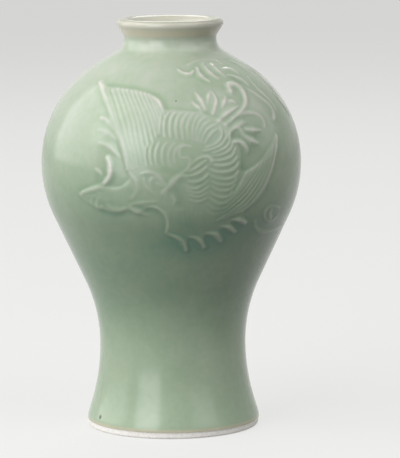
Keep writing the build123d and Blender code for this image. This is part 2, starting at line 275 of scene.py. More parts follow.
def stroke(field, pixels, widths, height):
    """Raises a ridge along a line of pixels. Widths from its crest to its foot, at start, middle and end."""
    line = on_vase(smooth_line(pixels))
    rows, columns = patch(line, max(widths) * ridge_reach)
    shares = np.linspace(0, 1, len(line))
    line_widths = np.interp(shares, (0, 0.5, 1), widths)
    best = np.zeros((len(rows), len(columns)))
    stretches = zip(line_widths, line_widths[1:], spans(line, rows, columns))
    for first_width, last_width, (_, _, along, away) in stretches:
        width = first_width + (last_width - first_width) * along
        best = np.maximum(best, np.sqrt(width / max(widths)) * np.exp(-((away / width) ** 2)))
    keep_highest(field, rows, columns, best * height)


def plateau(field, pixels, softness, height):
    """Raises everything within an outline of pixels, with edges that rise over twice the softness."""
    line = on_vase(smooth_line([*pixels, pixels[0]]))
    rows, columns = patch(line, softness * 2)
    nearest = np.full((len(rows), len(columns)), np.inf)
    inside = np.zeros((len(rows), len(columns)), bool)
    for (start_x, start_y), (step_x, step_y), _, away in spans(line, rows, columns):
        nearest = np.minimum(nearest, away)
        if step_y != 0:
            crossing = (start_y > 0) != (start_y + step_y > 0)
            inside ^= crossing & (start_x - start_y * step_x / step_y > 0)
    share = np.clip(np.where(inside, nearest, -nearest) / softness * 0.5 + 0.5, 0, 1)
    keep_highest(field, rows, columns, share * share * (3 - 2 * share) * height)


def between(keys, count):
    """Lines spaced evenly from the first key line to the last, through those between."""
    keys = np.asarray(keys, float)
    spaced = []
    for place in np.linspace(0, len(keys) - 1, count):
        low = min(int(place), len(keys) - 2)
        share = place - low
        spaced.append(keys[low] * (1 - share) + keys[low + 1] * share)
    return spaced


def ridges(lines, widths, height):
    """Ridges, each a line, its three widths in millimetres and its share of the full height."""
    return [(line, widths, height) for line in lines]


# The bird's outline. All its lines are in pixels of the photograph.
bird_outline = [
    (99, 82), (110, 87), (121, 88), (134, 90), (150, 94), (160, 100), (165, 109), (175, 110),
    (190, 111), (200, 112.5), (212, 117), (222, 121), (230, 128), (231, 138), (238, 144), (241, 155),
    (241, 170), (246, 171), (257, 164), (266, 154), (272, 144), (276, 134), (278, 146), (274, 163),
    (268, 182), (258, 199), (243, 212), (245.6, 223.6), (238, 222.5), (230.5, 222), (234.8, 231.7),
    (226, 229.5), (219.5, 229), (220.6, 241.8), (213.5, 237), (204.5, 236), (204.5, 248.5),
    (197.7, 242.5), (188.5, 239), (187, 252), (182.5, 245.5), (175, 239), (166.5, 233), (167, 222),
    (162, 213), (150, 208), (138, 214), (128, 210), (118, 213), (104, 210), (90, 204), (80, 194), (95, 187),
    (105, 187), (113, 188), (121, 187), (128, 182), (129.5, 176), (126.5, 168), (122, 156), (117, 138),
    (110, 118), (104, 100),
]

# The left wing's pinions from its leading edge to the neck, that bright edge, and the wing's last corner
left_pinions = [
    [(108, 90), (113, 105), (119, 126), (125, 148), (132, 170)],
    [(119, 89), (125, 105), (131, 126), (134, 146), (139, 168)],
    [(129, 90.5), (135, 106), (141, 124), (144, 137), (147, 150)],
    [(139, 92), (145, 106), (151, 121), (154, 131), (156, 139)],
    [(148, 94), (153, 104), (157, 114), (159, 124), (160, 132)],
    [(156, 98), (159, 104), (162, 109), (164, 114), (165, 118)],
]
left_wing = [
    *ridges(between(left_pinions, 12), (0.9, 0.85, 0.6), 0.47),
    ([(101, 82), (105.8, 96), (113, 116), (120.5, 138), (125, 155), (126.5, 170)], (3.0, 1.3, 1.5), 0.68),
    ([(153.5, 97.5), (159, 102), (163.8, 112.5)], (1.0, 1.5, 0.9), 0.6),
]

# The neck's ribs with the turn above the breast, the row of ribs under them, and the coil beside it
upper_ribs = [
    [(162, 113), (160.2, 123.5), (160.9, 134)],
    [(168.8, 113), (165, 120.4), (164.3, 128.6), (165.5, 137)],
    [(174.8, 113), (171.1, 119.4), (170.3, 128.6), (171.4, 137.5)],
    [(181.2, 113), (177.2, 119.4), (176, 128.6), (177.6, 138.5)],
    [(187.4, 113.2), (183.2, 119.4), (181.6, 128.6), (183.2, 139)],
    [(192.6, 114.4), (188.6, 121.4), (187, 129.6), (188.4, 139.5)],
    [(198.2, 115.8), (194, 122.4), (192, 130.6), (192.6, 140.5)],
    [(204.5, 118), (199.2, 122.6), (195.8, 130.6), (195.4, 141)],
    [(210.4, 121), (203.5, 125.8), (199.3, 133.5), (197.6, 142)],
    [(215.5, 125), (208.6, 128.3), (203.4, 135.2), (200.6, 143)],
    [(217, 129.5), (211.6, 133.3), (207.3, 139), (204.2, 144)],
    [(219.6, 127.5), (222, 133.7), (219.6, 140.4), (213.5, 145), (205.3, 147.6)],
    [(225.6, 131), (226.4, 138), (221.8, 144.6), (213.5, 149), (203.5, 151.4)],
    [(230.8, 139), (227.4, 146), (220.5, 150.6), (212, 153.2)],
]
lower_ribs = [
    [(147.6, 145.6), (145.6, 154.6), (147.6, 165)],
    [(153, 144.6), (150.8, 153.6), (152.7, 165)],
    [(160, 142.8), (156.8, 150.6), (156.2, 158), (157.6, 165)],
    [(167.6, 142.9), (163.6, 148.4), (162.6, 157), (164, 165)],
    [(174.6, 143.4), (170, 150), (168.7, 157.5), (170.2, 166)],
    [(183.5, 144.4), (177.4, 148.4), (174.4, 154.5), (174.4, 163)],
]
neck_feathers = [
    *ridges(upper_ribs, (0.7, 1.15, 0.75), 0.62),
    *ridges(lower_ribs, (0.7, 1.1, 0.75), 0.46),
    ([(190.4, 147), (183.5, 146), (179.5, 151), (181, 157), (186, 158)], (0.8, 0.9, 0.6), 0.5),
    ([(187, 157), (190, 163), (187, 170), (178, 174)], (0.8, 1.1, 0.6), 0.5),
]

# The breast's ribs in two columns, with upturned tips on the right, faint ribs below and a curl above
breast_right = [
    [(212.6, 155.7), (223, 154.5), (230.5, 149.5), (232.4, 143.4)],
    [(212, 160), (222, 160.4), (231.5, 156.5), (235.3, 148.5)],
    [(210.7, 164.5), (220, 166), (231, 164), (237, 157)],
    [(210.7, 170), (221, 172.6), (232, 170.5), (238.4, 163.5)],
    [(211, 176), (222, 179.3), (232.5, 178), (238, 172)],
    [(211.5, 181.5), (221, 185), (231, 184), (236.5, 178.5)],
    [(211.5, 186.5), (219.5, 190.5), (229, 190), (234.5, 185)],
    [(210.5, 192.4), (219, 197), (227, 197), (232, 192)],
    [(209, 198), (217, 203), (223, 203.5), (228, 200)],
]
breast_left_top = [
    [(189.5, 171.5), (197.5, 167), (205.5, 161)],
    [(188, 176), (197, 174), (206, 167.5)],
    [(188, 181), (198.5, 181.5), (208, 174.5)],
]
breast_left_foot = [
    [(185, 185), (196, 188.5), (208, 181)],
    [(186, 189.5), (197.5, 193), (207.5, 187)],
    [(189, 194.5), (198, 197), (206.5, 193)],
    [(189.5, 199.5), (198, 201.5), (206, 198.5)],
]
breast_feathers = [
    *ridges(breast_right, (0.6, 1.15, 1.1), 0.54),
    *ridges(breast_left_top, (0.7, 1.1, 0.8), 0.62),
    *ridges(breast_left_foot, (0.6, 1.1, 0.7), 0.56),
    ([(207, 203.5), (214, 208.6), (220, 209), (225, 206)], (0.6, 1.1, 0.7), 0.4),
    ([(205.5, 209), (211.5, 213.8), (217, 214.4), (221.5, 212.4)], (0.6, 1.1, 0.7), 0.34),
    ([(188, 171.7), (193.7, 162.3), (201.3, 157.8), (207.9, 157.5), (211.7, 162)], (0.5, 1.1, 1.4), 0.6),
]

# The right wing's long feathers, and the outermost one's firm edge
right_pinions = [
    [(275.9, 134.5), (275.8, 149), (271, 168), (262.5, 188), (248.5, 206), (232, 215), (217, 220.5)],
    [(270.2, 154.7), (267, 164), (262.5, 175), (256, 187), (245, 201.5), (235, 209.5), (222, 217)],
    [(264, 160.5), (260, 169.5), (254.5, 179), (248, 188), (240, 197), (231, 205), (222, 212)],
    [(257, 165), (252, 172.5), (247, 180), (242, 187), (237, 193), (232, 198), (227, 202)],
    [(248, 171.5), (245, 176), (242.5, 180), (240, 184.5), (237.5, 188.5), (235, 192), (232, 195.5)],
]
right_wing = [
    *ridges(between(right_pinions, 8), (0.65, 1.0, 0.6), 0.66),
    ([(275.9, 134.5), (276, 146), (272.5, 163), (266, 182), (257, 198)], (0.6, 1.2, 0.6), 0.65),
]

# The tail's pointed tips with their full cores, its faint folds, and the ridges that bound it
tips = [
    [(167, 233.6), (176, 237), (183, 241.4), (186.4, 249.4)],
    [(190, 236.6), (197, 238.2), (201.2, 241.6), (204, 247)],
    [(206, 233), (213, 233.4), (217.6, 235.6), (220.3, 241)],
    [(220.5, 226.6), (226.6, 226.6), (230.6, 228.2), (234.2, 231.2)],
    [(231, 220), (236.8, 219.6), (240.6, 220.6), (244.6, 222.6)],
]
tip_cores = [
    [(181, 242), (184.5, 246)],
    [(199, 241), (202.6, 245)],
    [(215, 236.4), (219, 240)],
    [(228, 229), (232.4, 231)],
    [(238.6, 221.4), (243, 222.6)],
]
tail_folds = [[(183, 203), (183, 218), (188, 233)], [(202, 205), (200, 217), (206, 229)]]
tail_edge = [(150, 206.8), (158, 208.3), (164.2, 213), (167.4, 219), (168, 226), (166, 233)]
tail_tips = [
    *ridges(tips, (0.6, 1.9, 1.7), 0.88),
    *ridges(tip_cores, (1.2, 1.7, 1.2), 0.7),
    *ridges(between(tail_folds, 5), (0.6, 1.1, 0.6), 0.26),
    (tail_edge, (0.7, 1.1, 0.9), 0.55),
    ([(171.7, 195.7), (175, 200.3), (172.9, 205)], (0.6, 1.1, 0.6), 0.5),
]

# The crest's leaves, the hook and the claws
hook = [
    (230.4, 91), (228.8, 86), (234, 84.4), (240.4, 88), (244.8, 95.5), (245.6, 103), (242, 110.5),
    (232, 119),
]
long_claw = [
    (225, 125), (234, 118.6), (240, 114.6), (247.4, 112.8), (257, 114.2), (263, 119.7), (264.6, 126.5),
]
crest_and_claws = [
    (hook, (3.2, 2.5, 1.5), 1.0),
    (long_claw, (1.5, 2.1, 1.8), 0.62),
    ([(192.3, 102), (197.4, 107), (201.6, 112)], (1.1, 2.1, 1.2), 0.8),
    ([(195, 92.4), (200, 99.5), (205, 110)], (0.8, 2.4, 1.7), 0.8),
    ([(211.4, 91), (208.2, 96.5), (208, 103)], (0.9, 1.7, 0.9), 0.68),
    ([(211.4, 91), (215.8, 99.5), (214.8, 107), (213, 114)], (0.9, 2.2, 1.3), 0.8),
    ([(212, 97), (212, 103)], (1.6, 1.6, 1.6), 0.4),
    ([(225.8, 97), (224.2, 102), (222.2, 107)], (1.1, 2, 1.1), 0.72),
    ([(229.2, 101.4), (232, 100.8), (235, 102.6)], (1.6, 1.8, 1.1), 0.66),
    ([(238.3, 106.3), (230.6, 110.8), (224, 115.6), (217.5, 122)], (1.2, 2.8, 1.2), 0.8),
    ([(245.3, 129.2), (252.8, 130.3), (260.6, 130.3)], (1.2, 2.5, 0.9), 0.88),
    ([(244.5, 136), (251.5, 140.6), (257.4, 143.4)], (1.2, 2.5, 1.3), 0.92),
    ([(233.6, 142.2), (240.5, 142.4), (245, 146.6), (247.6, 151.6)], (1.1, 2, 1.2), 0.9),
    ([(230, 141), (230.6, 133), (235.5, 127.6), (240.5, 129), (243.4, 135)], (1.2, 1.7, 1.2), 0.66),
    ([(236, 127), (240.5, 124.4), (245, 122)], (1.6, 2.4, 1.3), 0.66),
]

# The head and the curls round it
horn = [(107.6, 158), (109.8, 164.5), (110.6, 171.5), (109, 178), (104.5, 183.6)]
throat_curl = [(186, 177), (180, 176.4), (175, 180), (170.6, 185), (165.6, 189.6), (163, 193.4)]
head_and_curls = [
    (horn, (1.5, 2.9, 1.7), 1.12),
    (throat_curl, (1.6, 2.6, 1.6), 0.64),
    ([(106.5, 182.4), (101, 186), (94, 188.6), (87, 191), (80.5, 193.6)], (2.4, 2.4, 1.6), 0.62),
    ([(98, 190.5), (100, 196), (106, 200)], (2.4, 3.4, 2.4), 0.34),
    ([(96, 169.5), (98.5, 171), (101.1, 174.5)], (1.1, 1.5, 0.9), 0.6),
    ([(86.5, 196.5), (94, 196), (103, 199), (110, 199)], (0.9, 2, 0.9), 0.38),
    ([(92.6, 198), (91.6, 202), (92.4, 205)], (1.1, 1.7, 1.1), 0.42),
    ([(98, 200), (97.2, 204.5), (98.6, 208.4), (101.4, 207)], (1.3, 2.2, 1.6), 0.6),
    ([(108.4, 204.6), (112.6, 208.2), (118.6, 209.8), (125.6, 208.4)], (1.5, 2.5, 1.8), 0.52),
    ([(129.6, 207), (135.4, 210.2), (141, 212.8), (147.4, 214.8)], (1.5, 2.5, 1.0), 0.64),
    ([(127.5, 173.6), (133.4, 177.4), (137, 184.6), (136.6, 191.5), (131.4, 198.5)], (0.8, 2, 1.3), 0.42),
    ([(142, 174), (150.5, 172.6), (158, 176), (163.4, 183), (168.4, 185.4)], (1.1, 2, 1.8), 0.5),
    ([(151, 188), (150.6, 182), (154, 178.4), (160, 179), (162.6, 184.5)], (1.1, 1.6, 1.1), 0.36),
    ([(157.5, 183), (163, 185.4), (169.5, 185.6), (175, 183)], (1.3, 2.1, 1.6), 0.5),
    ([(169, 186), (166.5, 191), (165.5, 197)], (1.1, 1.5, 0.8), 0.5),
    ([(144, 178), (147, 187), (153.5, 192.5)], (0.9, 1.5, 0.9), 0.42),
    ([(129.4, 205), (138, 203.2), (146.6, 202.2), (158, 201.4)], (1.1, 1.6, 0.9), 0.48),
    ([(101.4, 117.8), (106.2, 119.4), (109.8, 123.4), (113.5, 129.5)], (1.8, 2.5, 0.9), 0.78),
    ([(98, 129.4), (104, 130.8), (110, 134), (116, 140)], (1.4, 2.6, 1.2), 0.52),
    ([(99, 143), (105.6, 145), (112, 149.6), (119, 157)], (1.2, 2.5, 1.2), 0.58),
]

# The plume over the shoulder: tassels, then long feathers that sweep round to the side
shoulder_plume = [
    ([(178, 69), (183.5, 73), (189.5, 74), (193.5, 71)], (1.1, 2.5, 1.6), 0.85),
    ([(187.5, 65), (196.2, 60.8), (205, 59.2), (214.5, 60.2), (222, 64)], (1.2, 1.7, 1.2), 0.5),
    ([(197.4, 68), (200.8, 75.8), (209, 80.8)], (1.6, 2.8, 1.2), 1.0),
    ([(205, 66.6), (210.3, 73.4), (218, 78.2)], (1.6, 2.6, 1.2), 0.92),
    ([(212.8, 65), (218.8, 71.6), (225.2, 76.6)], (1.3, 2.2, 1.1), 0.74),
    ([(203, 62.5), (203, 67)], (1.3, 1.6, 1.3), 0.45),
    ([(224.8, 68.7), (232, 70), (238.4, 74.4)], (1.2, 2.1, 1.2), 0.78),
    ([(229, 75.6), (237, 77.6), (243, 80.8), (248, 85.4)], (1.2, 2, 1.2), 0.76),
    ([(231.4, 61.6), (239, 65.2), (246.5, 71.2)], (1.1, 1.7, 1.1), 0.66),
    ([(240, 84.5), (249.4, 89.5), (259.8, 97), (268.3, 104), (273, 111), (274, 118.5)], (0.8, 1.6, 1.8), 0.7),
    ([(247.5, 76.3), (254.2, 85.5), (262.7, 94), (270.5, 102), (275.5, 110.5)], (0.9, 1.6, 1.2), 0.7),
    ([(249.4, 68.8), (257, 73.7), (266, 82.5), (274, 91.5), (281, 102)], (1.3, 2.1, 1.5), 0.8),
    ([(241, 62.6), (250, 67), (259, 73), (267, 80)], (0.9, 1.5, 0.9), 0.6),
    ([(273, 93), (279, 99.9), (285.3, 108.4), (289, 115)], (1.5, 2.4, 1.3), 0.85),
]

# The cloud
cloud_curl = [(279, 208), (273, 206.6), (267, 208.4), (263.8, 213.5), (265, 219), (270, 221), (276, 217)]
cloud = [
    (cloud_curl, (1.0, 1.6, 1.0), 0.66),
    ([(271, 209.6), (269, 214), (270, 218)], (2.0, 2.6, 1.8), 0.68),
    ([(254.6, 221), (255, 227), (259, 230.8), (266, 231), (275, 228.4), (283, 225)], (1.4, 2.0, 1.0), 0.68),
]

# Where the colour is deepened, by line, width and depth, partly as pooled glaze and partly as painted shadow:
# among the curls, beside the tips, under the plume
deep_and_shaded_places = [
    ([(97, 176), (98.5, 181)], 2.2, 0.35),
    ([(114, 175), (119, 179), (122, 184)], 3.6, 0.2),
    ([(177, 190), (180, 197), (180, 203)], 2.8, 0.6),
    ([(184, 176), (180, 184)], 1.8, 0.35),
    ([(100, 208), (104, 211), (112, 214), (124, 214)], 1.2, 0.45),
    ([(134, 205), (146, 209), (156, 212)], 1.2, 0.4),
    ([(175, 241), (181, 247)], 2.0, 1.0),
    ([(192, 241), (199, 246)], 2.2, 1.0),
    ([(207, 237.5), (214, 241)], 2.2, 1.0),
    ([(222, 230), (229, 233)], 2.0, 1.0),
    ([(234, 223), (241, 225.5)], 1.8, 0.9),
    ([(172, 240), (196, 248), (216, 242), (236, 232), (250, 224)], 8.0, 0.5),
    ([(186, 222), (206, 226), (226, 212)], 7.0, 0.5),
    ([(242, 152), (243, 168)], 2.0, 0.5),
    ([(234, 134), (239, 137)], 2.0, 0.5),
    ([(248, 119), (257, 124), (249, 126)], 2.2, 0.45),
    ([(234, 92), (240, 98), (239, 103)], 2.2, 0.25),
    ([(228, 74), (238, 82), (246, 87)], 1.6, 0.5),
    ([(206, 113), (212, 119)], 1.8, 0.4),
    ([(110, 84.5), (130, 86.5), (152, 92), (163, 99), (167, 107)], 1.2, 0.35),
    ([(163, 168), (173, 172), (180, 168)], 1.6, 0.3),
    ([(192, 181), (202, 184)], 0.9, 0.2),
    ([(240, 120), (250, 120), (259, 125)], 2.6, 0.5),
    ([(248, 135.5), (262, 137)], 2.2, 0.45),
    ([(251, 150), (245, 158), (242, 168)], 3.6, 0.45),
    ([(115, 166), (118, 174), (113, 181)], 3.0, 0.25),
    ([(200, 86), (214, 85), (224, 90)], 4.0, 0.25),
    ([(230, 59), (243, 69), (256, 82), (267, 94), (277, 108)], 9.0, 0.4),
]

# The bird's body and wings as one raised pad, all the ridges, and the deep places with their pooled glaze and
# painted shadow
pad_softness = 0.9
pad_share = 0.45
plateau(relief_pads, bird_outline, pad_softness, pad_share)
feathers = [*left_wing, *neck_feathers, *breast_feathers, *right_wing, *tail_tips]
curls = [*crest_and_claws, *head_and_curls, *shoulder_plume, *cloud]
for pixels, widths, height in feathers + curls:
    stroke(relief_strokes, pixels, widths, height)
for pixels, width, depth in deep_and_shaded_places:
    stroke(pools_and_painted_shadows, pixels, (width, width, width), depth)

# In millimetres: how high the pad and a full ridge stand, and over what size the glaze rounds them off
pad_rise, pad_rounding = 0.75, 0.6
ridge_rise, ridge_rounding = 0.86, 0.5
# The power by which the glaze levels low ribs more than high ridges
levelling = 1.7
# Over what size the glaze flows off a ridge, and how much the deep places deepen its colour, as pooled glaze
# and painted shadow
flow_size = 1.8
pool_and_shadow_share, pool_and_shadow_rounding = 0.3, 0.7
# The usual radius of the vase at the relief, which gives a column its width
relief_radius = 70


def blur(field, size):
    """The field softened over a size in millimetres, wrapped round the half turn."""

    def weights(step):
        reach = max(1, int(3 * size / step))
        bell = np.exp(-0.5 * (np.arange(-reach, reach + 1) * step / size) ** 2)
        return bell / bell.sum()

    down = weights(row_step)
    reach = len(down) // 2
    padded = np.pad(field, ((reach, reach), (0, 0)), mode="edge")
    field = sum(weight * padded[i : i + len(field)] for i, weight in enumerate(down))
    across = weights(column_angle * relief_radius)
    reach = len(across) // 2
    return sum(weight * np.roll(field, i - reach, axis=1) for i, weight in enumerate(across))


relief_height = blur(pad_rise * relief_pads, pad_rounding)
relief_height = relief_height + blur(ridge_rise * relief_strokes**levelling, ridge_rounding)
# The colour's depth: glaze flowing off the ridges, plus the deep places, which are partly pooled glaze and
# partly painted shadow
flow_and_painted_shade = blur(relief_height, flow_size) - relief_height + pool_and_shadow_share * blur(pools_and_painted_shadows, pool_and_shadow_rounding)

# The relief repeated over the whole turn, with the places and normals of its outer face
turn_height = np.tile(relief_height, (1, 2))
turn_flow_and_painted_shade = np.tile(flow_and_painted_shade, (1, 2))
plain_radii, plain_heights, plain_slants = outside(relief_lengths)
turn_angles = np.arange(turn_columns) * column_angle
raised_radii = plain_radii[:, None] + turn_height * np.cos(plain_slants)[:, None]
raised_heights = plain_heights[:, None] + turn_height * np.sin(plain_slants)[:, None]
relief_places = np.stack(
    [raised_radii * np.sin(turn_angles), -raised_radii * np.cos(turn_angles), raised_heights], axis=2
)
sideways = np.roll(relief_places, -1, axis=1) - np.roll(relief_places, 1, axis=1)
upward = np.gradient(relief_places, axis=0)
relief_normals = np.cross(sideways, upward)
relief_normals /= np.linalg.norm(relief_normals, axis=2, keepdims=True)


def add_node(tree, kind, inputs=(), **settings):
    """Adds a node with its settings, and gives its inputs their values or links."""
    made = tree.nodes.new(kind)
    for name, value in settings.items():
        setattr(made, name, value)
    for socket, value in dict(inputs).items():
        if isinstance(value, bpy.types.NodeSocket):
            tree.links.new(value, made.inputs[socket])
        else:
            made.inputs[socket].default_value = value
    return made


def maths(tree, operation, *values, kind="ShaderNodeMath"):
    """The result of a Math node, or of a whole-number one, on its values."""
    return add_node(tree, kind, dict(enumerate(values)), operation=operation).outputs[0]


def turned_skin_tree():
    """A tree that turns a closed half section about the vase's axis."""
    tree = bpy.data.node_groups.new("turned_skin", "GeometryNodeTree")
    tree.interface.new_socket("Section", in_out="INPUT", socket_type="NodeSocketGeometry")
    tree.interface.new_socket("Columns", in_out="INPUT", socket_type="NodeSocketInt")
    tree.interface.new_socket("Finish", in_out="INPUT", socket_type="NodeSocketMaterial")
    tree.interface.new_socket("Skin", in_out="OUTPUT", socket_type="NodeSocketGeometry")
    given = add_node(tree, "NodeGroupInput").outputs
    section, columns, finish = given["Section"], given["Columns"], given["Finish"]
    rows = add_node(tree, "GeometryNodeAttributeDomainSize", {0: section}).outputs["Point Count"]
    whole = "FunctionNodeIntegerMath"
    closed = maths(tree, "ADD", columns, 1, kind=whole)
    grid = add_node(tree, "GeometryNodeMeshGrid", {"Vertices X": closed, "Vertices Y": rows}).outputs["Mesh"]
    index = add_node(tree, "GeometryNodeInputIndex").outputs[0]
    row = maths(tree, "MODULO", index, rows, kind=whole)
    column = maths(tree, "DIVIDE_FLOOR", index, rows, kind=whole)
    position = add_node(tree, "GeometryNodeInputPosition").outputs[0]
    place = add_node(
        tree,
        "GeometryNodeSampleIndex",
        {"Geometry": section, "Value": position, "Index": row},
        data_type="FLOAT_VECTOR",
    ).outputs[0]
    angle = maths(tree, "MULTIPLY", maths(tree, "DIVIDE", column, columns), 2 * pi)
    turned = add_node(
        tree, "ShaderNodeVectorRotate", {"Vector": place, "Angle": angle}, rotation_type="Z_AXIS"
    ).outputs[0]
    skin = add_node(tree, "GeometryNodeSetPosition", {"Geometry": grid, "Position": turned}).outputs[0]
    last_row = maths(tree, "SUBTRACT", rows, 1, kind=whole)
    for name, number, count in (("row", row, last_row), ("column", column, columns)):
        wrapped = maths(tree, "MODULO", number, count, kind=whole)
        skin = add_node(
            tree,
            "GeometryNodeStoreNamedAttribute",
            {"Geometry": skin, "Name": name, "Value": wrapped},
            data_type="INT",
            domain="POINT",
        ).outputs[0]
    skin = add_node(tree, "GeometryNodeMergeByDistance", {"Geometry": skin, "Distance": 1e-6}).outputs[0]
    skin = add_node(tree, "GeometryNodeSetShadeSmooth", {"Geometry": skin}).outputs[0]
    skin = add_node(tree, "GeometryNodeRealizeInstances", {"Geometry": skin}).outputs[0]
    skin = add_node(tree, "GeometryNodeSetMaterial", {"Geometry": skin, "Material": finish}).outputs[0]
    add_node(tree, "NodeGroupOutput", {"Skin": skin})
    return tree


turned_skin = turned_skin_tree()


def turn(name, section, finish, columns):
    """A plain mesh object of a closed half section in millimetres, turned about the axis."""
    drawn = bpy.data.meshes.new(name + "_section")
    places = np.stack([np.zeros(len(section)), -section[:, 0], section[:, 1]], axis=1) * MM
    drawn.from_pydata(places.tolist(), [], [])
    holder = bpy.data.objects.new(name + "_section", drawn)
    bpy.context.collection.objects.link(holder)
    modifier = holder.modifiers.new("turned_skin", "NODES")
    modifier.node_group = turned_skin
    inputs = [item for item in turned_skin.interface.items_tree if item.in_out == "INPUT"]
    names = {item.name: item.identifier for item in inputs}
    modifier[names["Columns"]] = columns
    modifier[names["Finish"]] = finish
    evaluated = holder.evaluated_get(bpy.context.evaluated_depsgraph_get())
    mesh = bpy.data.meshes.new_from_object(evaluated)
    mesh.name = name
    bpy.data.objects.remove(holder)
    piece = bpy.data.objects.new(name, mesh)
    bpy.context.collection.objects.link(piece)
    return piece


def whole_numbers(mesh, name):
    """A stored whole-number attribute of the mesh's points."""
    values = np.zeros(len(mesh.vertices), np.int32)
    mesh.attributes[name].data.foreach_get("value", values)
    return values


# The glaze depth of a plain place. It runs from 0 where the glaze is thinnest to 1 where it's deepest or most
# darkened by painted shadow.
even_depth = 0.5


def finish_skin(piece, row_slants, columns, outer_rows=0, relief_row=None):
    """Gives a turned skin its glaze depth with painted shadow, its relief, and normals that run on over its
    seams.
    """
    mesh = piece.data
    row, column = whole_numbers(mesh, "row"), whole_numbers(mesh, "column")
    angles = column * 2 * pi / columns
    slants = row_slants[row]
    level = np.cos(slants)
    normals = np.stack([level * np.sin(angles), -level * np.cos(angles), np.sin(slants)], axis=1)
    depth = np.full(len(mesh.vertices), even_depth, np.float32)
    if relief_row is not None:
        places = np.zeros(len(mesh.vertices) * 3, np.float32)
        mesh.vertices.foreach_get("co", places)
        places = places.reshape(-1, 3)
        outer = row < outer_rows
        at = (row[outer] + relief_row, column[outer])
        places[outer] = relief_places[at] * MM
        normals[outer] = relief_normals[at]
        depth[outer] = np.clip(even_depth + turn_flow_and_painted_shade[at], 0, 1)
        mesh.vertices.foreach_set("co", places.ravel())
    mesh.attributes.new("glaze_depth_and_shade", "FLOAT", "POINT").data.foreach_set("value", depth)
    mesh.update()
    mesh.normals_split_custom_set_from_vertices(normals.tolist())


def linear(colour):
    """An sRGB hex colour as linear red, green and blue with alpha."""
    parts = [int(colour[i : i + 2], 16) / 255 for i in (1, 3, 5)]
    return (*[part / 12.92 if part <= 0.04045 else ((part + 0.055) / 1.055) ** 2.4 for part in parts], 1)


def empty_material(name):
    """A new material, and its node tree with nothing in it."""
    material = bpy.data.materials.new(name)
    material.use_nodes = True
    material.node_tree.nodes.clear()
    return material, material.node_tree


def noise(tree, place, size, detail):
    """Noise whose grain has a size in metres."""
    grain = {"Vector": place, "Scale": 1 / size, "Detail": detail}
    return add_node(tree, "ShaderNodeTexNoise", grain).outputs[0]


def fade(tree, value, start_at, whole_at, whole, start=0.0):
    """A soft change from a start to a whole, between two values of what it follows."""
    ends = {"From Min": start_at, "From Max": whole_at, "To Min": start, "To Max": whole}
    made = add_node(tree, "ShaderNodeMapRange", {"Value": value, **ends}, interpolation_type="SMOOTHSTEP")
    return made.outputs[0]


def ramped(tree, value, first, *middle, last):
    """A ramp of colours over a value, each stop a place and an sRGB colour."""
    ramp = add_node(tree, "ShaderNodeValToRGB", {0: value})
    stops = ramp.color_ramp.elements
    for stop, (position, colour) in zip(stops, (first, last)):
        stop.position, stop.color = position, linear(colour)
    for position, colour in middle:
        stops.new(position).color = linear(colour)
    return ramp.outputs[0]


def tinted(tree, share, colour, tint):
    """A colour mixed with an sRGB tint."""
    colours = {6: colour, 7: linear(tint)}
    return add_node(tree, "ShaderNodeMix", {0: share, **colours}, data_type="RGBA").outputs[2]


ceramic_ior = 1.5


def surface(tree, colour, roughness, relief, strength, distance):
    """Closes a material with one Principled shader, bumped by a relief up to a distance in metres."""
    bump = {"Height": relief, "Strength": strength, "Distance": distance}
    normal = add_node(tree, "ShaderNodeBump", bump).outputs[0]
    finish = {"Base Color": colour, "Roughness": roughness, "IOR": ceramic_ior, "Normal": normal}
    shader = add_node(tree, "ShaderNodeBsdfPrincipled", finish).outputs[0]
    add_node(tree, "ShaderNodeOutputMaterial", {"Surface": shader})


# Soft clouds in the glaze and flecks where its crystals lie closer: size in metres and strength
cloud_grain = (0.028, 0.32)
fleck_grain = (0.004, 0.14)

# Changes in glaze depth by height: paler on the shoulder, deeper on the under-belly as painted shade, paler
# towards the foot. The heights in metres where a change starts and is whole, and the change in depth
shoulder_paling = (0.165, 0.215, -0.1)
belly_painted_shade = (0.172, 0.118, 0.24)
foot_paling = (0.088, 0.045, -0.2)

# The glaze's colour from thin to deep
thin_glaze = (0.1, "#E0DBCF")
glaze_shades = ((0.34, "#B9C1AF"), (0.5, "#A5B79B"), (0.72, "#8FA689"))
deep_glaze = (1.0, "#6E957B")

# Tints by height: buff under the lip, lightened as painted light against the lip's shade, pale on the lip, a
# greyer line on its crest as painted shade of the rim's inner edge, buff at the foot's edge
tints_and_painted_shading = (
    # Partly a real buff tint, partly painted light under the lip's overhang
    (0.2386, 0.2418, "#DAD0BA", 0.8),
    (0.2428, 0.2455, "#CBC9B8", 1.0),
    # Painted shade: the darker line at the rim's inner edge
    (0.2484, 0.2497, "#A6A894", 0.85),
    (0.0068, 0.0046, "#C6BBA2", 0.7),
)

# Iron spots in the body that came up through the glaze: pixel in the photograph, and radius in metres
foot_spot = ((100.3, 417), 0.0019)
shoulder_spot = ((176, 101), 0.0006)
# A spot has its whole strength out to this share of its radius
spot_core = 0.4
iron_colour, iron_strength = "#343C28", 0.85

# The ripple that the glaze keeps from flowing, in metres
ripple_size = 0.007
ripple_depth = 0.0006


def spot_place(column, row):
    """Where a pixel of the photograph lies on the glaze, in metres."""
    azimuth, length = on_vase([(column, row)])[0]
    radius, height, _ = outside(length)
    return Vector((radius * sin(azimuth), -radius * cos(azimuth), height)) * MM


